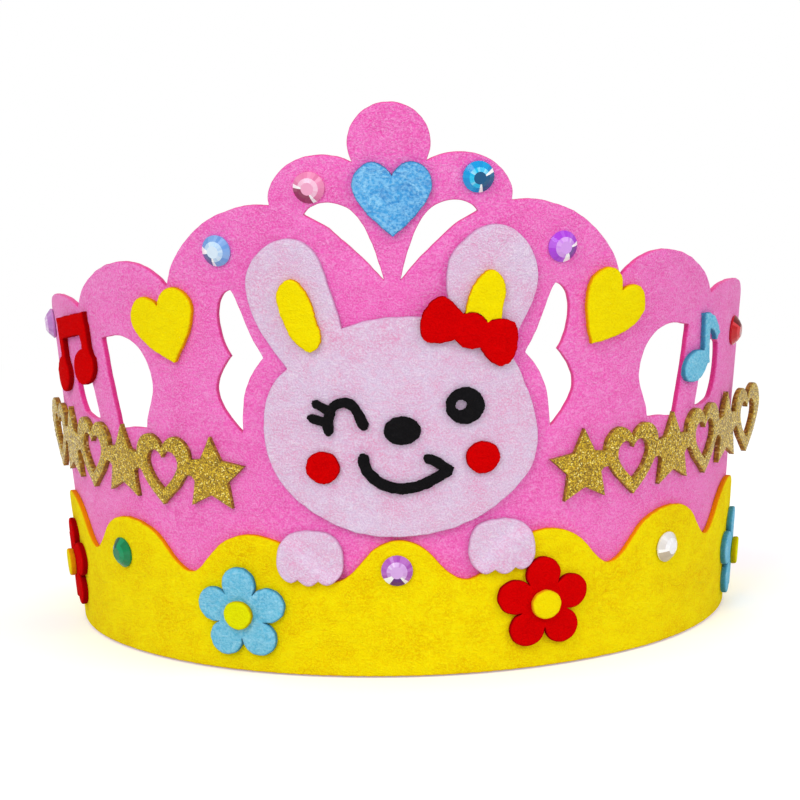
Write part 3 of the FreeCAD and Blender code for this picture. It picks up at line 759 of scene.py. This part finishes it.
surface = add(tree, "BsdfPrincipled", Base_Color=node.outputs["Colour"], Roughness=node.outputs["Roughness"],
              Metallic=node.outputs["Metallic"])
add(tree, "OutputMaterial", Surface=surface.outputs[0])

for side, free_angle in (("left", 74.0), ("right", 65.0)):       # degrees
    node, free = "gold_garland_" + side, math.radians(free_angle)
    loops, inner, outer = outline(node, free)
    loops = [smooth(loop, 0.45) for loop in loops]
    made = sheet_shape(loops, inner, outer - inner - 0.75 * flake_rise, shoulder=0.18, spacing=flake_size,
                       blade=0.03, seed=5 + len(side), free=free, facets=flake_rise)
    garland = to_object("glitter_" + node, *made[:5], flat_front=made[5] // 2)
    chance = np.random.default_rng(11)
    layer = garland.data.attributes.new("painted_flash", "FLOAT", "FACE")
    # A random number per flake picks its place on that ramp: painted shade, gold or painted glint.
    flash_tones = chance.uniform(0, 1, len(garland.data.polygons))
    layer.data.foreach_set("value", flash_tones.astype(np.float32))
    garland.data.materials.append(gold)
    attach(garland, "root")
    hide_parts(node)
    print(garland.name, len(garland.data.polygons), "faces")

# %% [markdown]
# ## Gems
# A stick-on gem is a round plastic stone with a silvered back: a smooth girdle, two rows of facets
# and a round table. From the front a real one shows three tones. The outer row has the full colour,
# the inner row is pale, and over about a quarter of the way round the back mirrors the dark side of
# the room, with a white glint at either end of that dark part. All but the full colour is painted: the
# pale inner row is painted light, the dark part a painted reflection, the glints painted highlights,
# and the table gets a painted tone of its own. We give each facet its tone as a number, from 0 for the
# painted dark reflection to 1 for a painted glint, and the material turns the number into a colour.

# %% Gems
gem_rings = np.array([[0.95, 0.0], [1.0, 0.12], [1.0, 0.26], [0.66, 0.76], [0.4, 1.0]])   # out, up
gem_sides = 24


def gem_mesh(radius, height):
    """Rings of points joined by two triangles a facet, with a flat table and a closed back."""
    angle = 2 * np.pi * np.arange(gem_sides) / gem_sides
    x = radius * gem_rings[:, :1] * np.cos(angle)
    y = radius * gem_rings[:, :1] * np.sin(angle)
    z = np.broadcast_to(height * gem_rings[:, 1:], x.shape)
    points = np.stack([x, y, z], axis=-1).reshape(-1, 3)
    points = np.concatenate([points, [[0, 0, 0], [0, 0, height]]])
    own, ahead = np.arange(gem_sides), np.roll(np.arange(gem_sides), -1)
    low = (gem_sides * np.arange(len(gem_rings) - 1))[:, None]
    high = low + gem_sides
    first = np.stack([low + own, low + ahead, high + ahead], axis=-1)
    second = np.stack([low + own, high + ahead, high + own], axis=-1)
    rows = np.stack([first, second], axis=2).reshape(-1, 3)
    rim, middle = (len(gem_rings) - 1) * gem_sides, len(points) - 2
    table = np.stack([rim + own, rim + ahead, np.full(gem_sides, middle + 1)], axis=-1)
    back = np.stack([ahead, own, np.full(gem_sides, middle)], axis=-1)
    return points, np.concatenate([rows, table, back])


def painted_gem_tones(dark_reflection_from, dark_reflection_to, table, chance):
    """Tone of every triangle, in the order of gem_mesh, with the painted pale light, dark reflection and
    glints. The angles are degrees, against the clock.
    """
    angle = (360 * (np.arange(gem_sides) + 0.5) / gem_sides - dark_reflection_from) % 360
    width = (dark_reflection_to - dark_reflection_from) % 360
    # Painted light: a dark reflection over part of the way round, white glints at its ends, a pale inner row.
    dark = angle < width
    side = 360 / gem_sides
    glint = ((angle >= width) & (angle < width + side)) | (angle > 360 - 1.6 * side)
    outer = np.where(glint, 0.92, np.where(dark, 0.12, 0.5)) + chance.uniform(-0.06, 0.06, gem_sides)
    inner = np.where(glint, 1.0, np.where(dark, 0.05, 0.72)) + chance.uniform(-0.08, 0.08, gem_sides)
    girdle = np.full(gem_sides, 0.55)
    rows = np.repeat(np.concatenate([girdle, girdle, outer, inner]), 2)
    return np.concatenate([rows, np.full(gem_sides, table), girdle])


# Colour of the painted dark reflection, full colour, colour of the painted pale light, where the painted
# dark reflection begins and ends in degrees, painted tone of the table.
gems = {
    "pink": ((150, 50, 90), (236, 130, 178), (250, 206, 228), 185, 285, 0.6),
    "cyan": ((0, 84, 130), (0, 150, 220), (30, 200, 240), 290, 10, 0.06),
    "pale_blue": ((74, 92, 150), (110, 160, 226), (196, 224, 246), 190, 250, 0.8),
    "violet": ((112, 50, 150), (176, 60, 226), (222, 168, 240), 300, 5, 0.7),
    "mauve": ((112, 60, 130), (190, 130, 200), (226, 190, 232), 200, 280, 0.7),
    "red": ((110, 0, 12), (190, 6, 18), (222, 60, 66), 40, 130, 0.4),
    "purple": ((96, 30, 128), (176, 84, 190), (214, 166, 228), 235, 305, 0.75),
    "green": ((0, 84, 56), (0, 128, 74), (10, 146, 92), 90, 200, 0.4),
    "clear": ((196, 182, 160), (226, 222, 222), (246, 246, 248), 200, 330, 0.75),
}
deep_below = 400                         # a pale colour whose sum is lower has no white glint


def gem_material(name, dark, full, pale):
    """Glossy plastic. The tone of a facet picks its colour, painted reflections and glints among them."""
    material, tree = new_material("gem_" + name)
    painted_tone = add(tree, "Attribute", attribute_name="painted_tone")
    ramp = add(tree, "ValToRGB", Fac=painted_tone.outputs["Fac"])
    glint = (255, 255, 255) if sum(pale) > deep_below else pale
    stops = ((0.1, dark), (0.5, full), (0.75, pale), (0.92, glint))
    while len(ramp.color_ramp.elements) < len(stops):
        ramp.color_ramp.elements.new(0.5)
    for element, (position, colour) in zip(ramp.color_ramp.elements, stops):
        element.position, element.color = position, paint(*colour)
    surface = add(tree, "BsdfPrincipled", Base_Color=ramp.outputs["Color"], Roughness=0.12)
    surface.inputs["Specular IOR Level"].default_value = 0.35
    add(tree, "OutputMaterial", Surface=surface.outputs[0])
    return material


gem_radius, gem_height = 4.0, 2.4        # millimetres
lean = math.atan(slope)
for number, (name, (dark, full, pale, dark_reflection_from, dark_reflection_to, table)) in enumerate(gems.items()):
    node = "gem_" + name
    along, up, offset = flatten(corners_of(node))
    shape, faces = gem_mesh(gem_radius, gem_height)
    centre_along, centre_up = (along.min() + along.max()) / 2, (up.min() + up.max()) / 2
    angle = centre_along / (ring_radius + centre_up * slope)
    seat = bend(np.array([centre_along]), np.array([centre_up]), np.array([0.0]))[0]
    outward = np.array([math.sin(angle), -math.cos(angle), 0.0])
    normal = outward * math.cos(lean) - np.array([0, 0, math.sin(lean)])
    round_it = np.array([math.cos(angle), math.sin(angle), 0.0])
    rise = np.cross(normal, round_it)
    layer_offset = felt if offset.mean() < 2.4 * felt else 2 * felt        # on the band or on the trim
    shape = seat + outward * layer_offset + shape @ np.array([round_it, rise, normal])
    gem = to_object("cut_" + node, shape * MM, np.zeros((0, 4), int), faces, smooth_sides=False)
    layer = gem.data.attributes.new("painted_tone", "FLOAT", "FACE")
    painted_tones = painted_gem_tones(dark_reflection_from, dark_reflection_to, table, np.random.default_rng(40 + number))
    layer.data.foreach_set("value", painted_tones.astype(np.float32))
    gem.data.materials.append(gem_material(name, dark, full, pale))
    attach(gem, "root")
    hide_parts(node)
    print(gem.name, "on layer", round(layer_offset, 2), "at", round(centre_along, 1), round(centre_up, 1))

# %% [markdown]
# ## Hook and loop tape
# The two ends of the band are held by a felt tab with hook and loop tape. The tapes stay as the CAD
# made them and only get a material: a pale ground with many tiny bumps for the hooks and loops, with
# painted shade that darkens it between the bumps.

# %% Tapes
tape, tree = new_material("hook_and_loop")
spot = add(tree, "TexCoord").outputs["Object"]
hooks = add(tree, "TexVoronoi", Vector=spot, Scale=1500.0)
shade = add(tree, "MapRange", Value=hooks.outputs["Distance"], To_Min=1.0, To_Max=0.6).outputs[0]
# The ground is darker away from the top of each bump: painted shade between the hooks.
colour = blend_colours(tree, shade, paint(180, 172, 176), paint(240, 236, 238))
bumps = add(tree, "Bump", Strength=0.6, Distance=0.2 * MM, Height=shade)
surface = add(tree, "BsdfPrincipled", Base_Color=colour, Roughness=0.7, Normal=bumps.outputs[0])
add(tree, "OutputMaterial", Surface=surface.outputs[0])
for name in ("hook_tape_left", "hook_tape_right", "loop_tape_left", "loop_tape_right"):
    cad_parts[name].data.materials.clear()
    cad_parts[name].data.materials.append(tape)
